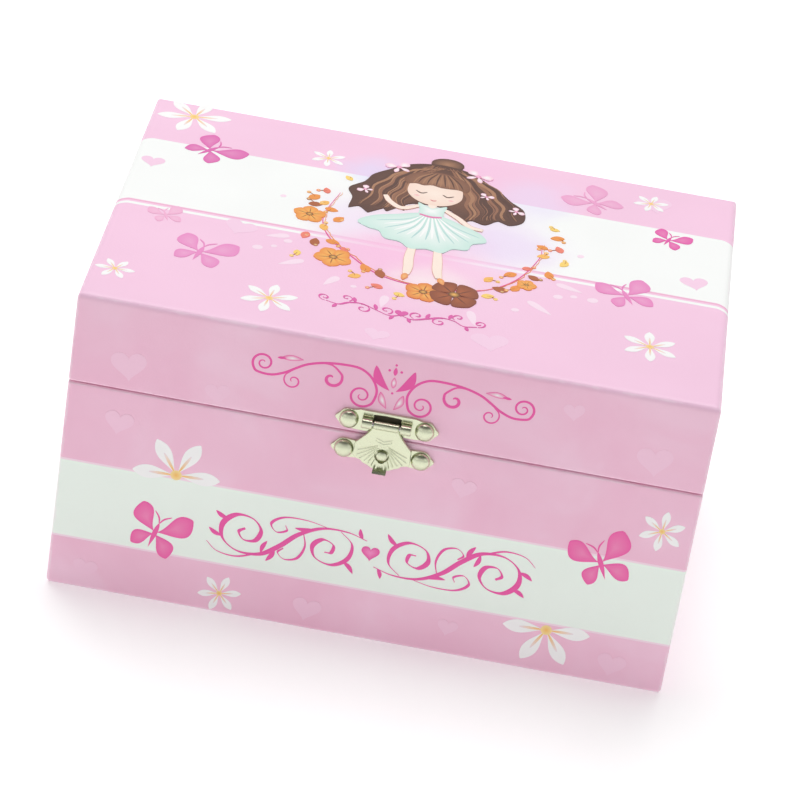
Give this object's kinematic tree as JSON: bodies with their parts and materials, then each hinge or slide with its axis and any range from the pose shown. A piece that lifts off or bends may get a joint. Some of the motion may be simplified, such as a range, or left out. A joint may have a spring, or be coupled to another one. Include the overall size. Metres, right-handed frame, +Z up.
{
  "type": "musical jewellery box",
  "caption": "Paper-covered box with a hinged mirrored lid, front hasp, lined compartments and a clockwork movement that turns a folding ballerina.",
  "frame": {"origin": "centre of the flat underside, on the surface the box stands on", "axes": "+X along the width towards the right of someone who faces the latch, +Y towards the hinges, +Z up through the lid"},
  "size_m": [0.15, 0.1265, 0.08],
  "materials": {
    "printed_paper": "satin",
    "plain_paper": "matte",
    "fibreboard": "matte",
    "velvet": "matte",
    "cushion": "matte",
    "satin_board": "satin",
    "mirror_glass": "polished",
    "nickel": "polished",
    "steel": "satin",
    "brass": "satin",
    "zinc": "matte",
    "spring_steel": "satin",
    "white_plastic": "satin",
    "doll_plastic": "satin",
    "tulle": "matte"
  },
  "bodies": {
    "base": {"base_bottom_sheet": "plain_paper", "base_wrap": "printed_paper", "base_bottom_board": "fibreboard", "base_front_board": "fibreboard", "base_back_board": "fibreboard", "base_left_board": "fibreboard", "base_right_board": "fibreboard", "base_lining": "velvet", "stage_divider": "velvet", "stage_left_side": "velvet", "stage_right_side": "velvet", "stage_deck": "velvet", "cross_divider": "velvet", "ring_roll_1": "cushion", "ring_roll_2": "cushion", "ring_roll_3": "cushion", "ring_roll_4": "cushion", "ring_roll_5": "cushion", "hinge_left_base_leaf": "nickel", "hinge_left_pin": "steel", "hinge_right_base_leaf": "nickel", "hinge_right_pin": "steel", "latch_box_plate": "nickel", "latch_box_nail_left": "nickel", "latch_box_nail_right": "nickel", "movement_bedplate": "zinc", "spring_barrel": "steel", "mainspring": "spring_steel", "comb": "steel", "spindle_bracket": "steel", "governor_frame": "steel"},
    "lid": {"lid_wrap": "printed_paper", "lid_top_board": "fibreboard", "lid_front_board": "fibreboard", "lid_back_board": "fibreboard", "lid_left_board": "fibreboard", "lid_right_board": "fibreboard", "lid_lining": "velvet", "mirror_frame": "satin_board", "mirror": "mirror_glass", "stop_peg": "white_plastic", "hinge_left_lid_leaf": "nickel", "hinge_right_lid_leaf": "nickel", "latch_lid_plate": "nickel", "latch_pin": "steel", "latch_lid_nail_left": "nickel", "latch_lid_nail_right": "nickel"},
    "latch_flap": {"latch_flap": "nickel"},
    "great_wheel": {"great_wheel": "brass"},
    "wind_key": {"wind_key": "nickel", "winding_arbor": "steel"},
    "pin_drum": {"pin_drum": "brass"},
    "second_wheel": {"second_wheel": "brass"},
    "worm_fan": {"worm_fan": "brass"},
    "stop_plunger": {"stop_plunger": "steel"},
    "doll_spindle": {"doll_spindle": "white_plastic"},
    "doll_carrier": {"doll_spring": "spring_steel", "doll_ferrule": "white_plastic"},
    "ballerina": {"ballerina": "doll_plastic", "tutu": "tulle"}
  },
  "joints": [
    {"name": "lid_hinge", "type": "hinge", "parent": "base", "child": "lid", "pos_m": [0, 0.0555, 0.0565], "axis": [-1, 0, 0], "range_deg": [0, 100]},
    {"name": "latch_flap_hinge", "type": "hinge", "parent": "lid", "child": "latch_flap", "pos_m": [0, -0.05575, 0.0606], "axis": [-1, 0, 0], "range_deg": [0, 120]},
    {"name": "great_wheel_spin", "type": "hinge", "parent": "base", "child": "great_wheel", "pos_m": [0, 0.04, 0.022], "axis": [0, 1, 0], "continuous": true},
    {"name": "key_winding", "type": "hinge", "parent": "great_wheel", "child": "wind_key", "pos_m": [0, 0.06, 0.022], "axis": [0, 1, 0], "continuous": true},
    {"name": "pin_drum_spin", "type": "hinge", "parent": "base", "child": "pin_drum", "pos_m": [0.02, 0.0295, 0.022], "axis": [1, 0, 0], "continuous": true},
    {"name": "second_wheel_spin", "type": "hinge", "parent": "base", "child": "second_wheel", "pos_m": [0.033, 0.0295, 0.03067], "axis": [1, 0, 0], "continuous": true},
    {"name": "worm_fan_spin", "type": "hinge", "parent": "base", "child": "worm_fan", "pos_m": [0.03525, 0.0363, 0.03067], "axis": [0, 0, 1], "continuous": true},
    {"name": "doll_spindle_spin", "type": "hinge", "parent": "base", "child": "doll_spindle", "pos_m": [0, 0.0295, 0.034], "axis": [0, 0, 1], "continuous": true},
    {"name": "doll_fold", "type": "hinge", "parent": "base", "child": "doll_carrier", "pos_m": [0, 0.0295, 0.057], "axis": [-1, 0, 0], "range_deg": [0, 90], "deforming": ["doll_spring"]},
    {"name": "doll_spin", "type": "hinge", "parent": "doll_carrier", "child": "ballerina", "pos_m": [0, 0.0195, 0.057], "axis": [0, -1, 0], "continuous": true},
    {"name": "stop_plunger_slide", "type": "slide", "parent": "base", "child": "stop_plunger", "axis": [0, 0, 1], "range_m": [0, 0.004]}
  ],
  "couplings": [
    {"joint": "pin_drum_spin", "follows": "great_wheel_spin", "ratio": -3},
    {"joint": "doll_spindle_spin", "follows": "great_wheel_spin", "ratio": -3},
    {"joint": "second_wheel_spin", "follows": "great_wheel_spin", "ratio": 9},
    {"joint": "worm_fan_spin", "follows": "great_wheel_spin", "ratio": -180},
    {"joint": "doll_spin", "follows": "great_wheel_spin", "ratio": -3},
    {"joint": "doll_fold", "follows": "lid_hinge", "ratio": 0.9},
    {"joint": "stop_plunger_slide", "follows": "lid_hinge", "m_per_rad": 0.002292}
  ]
}
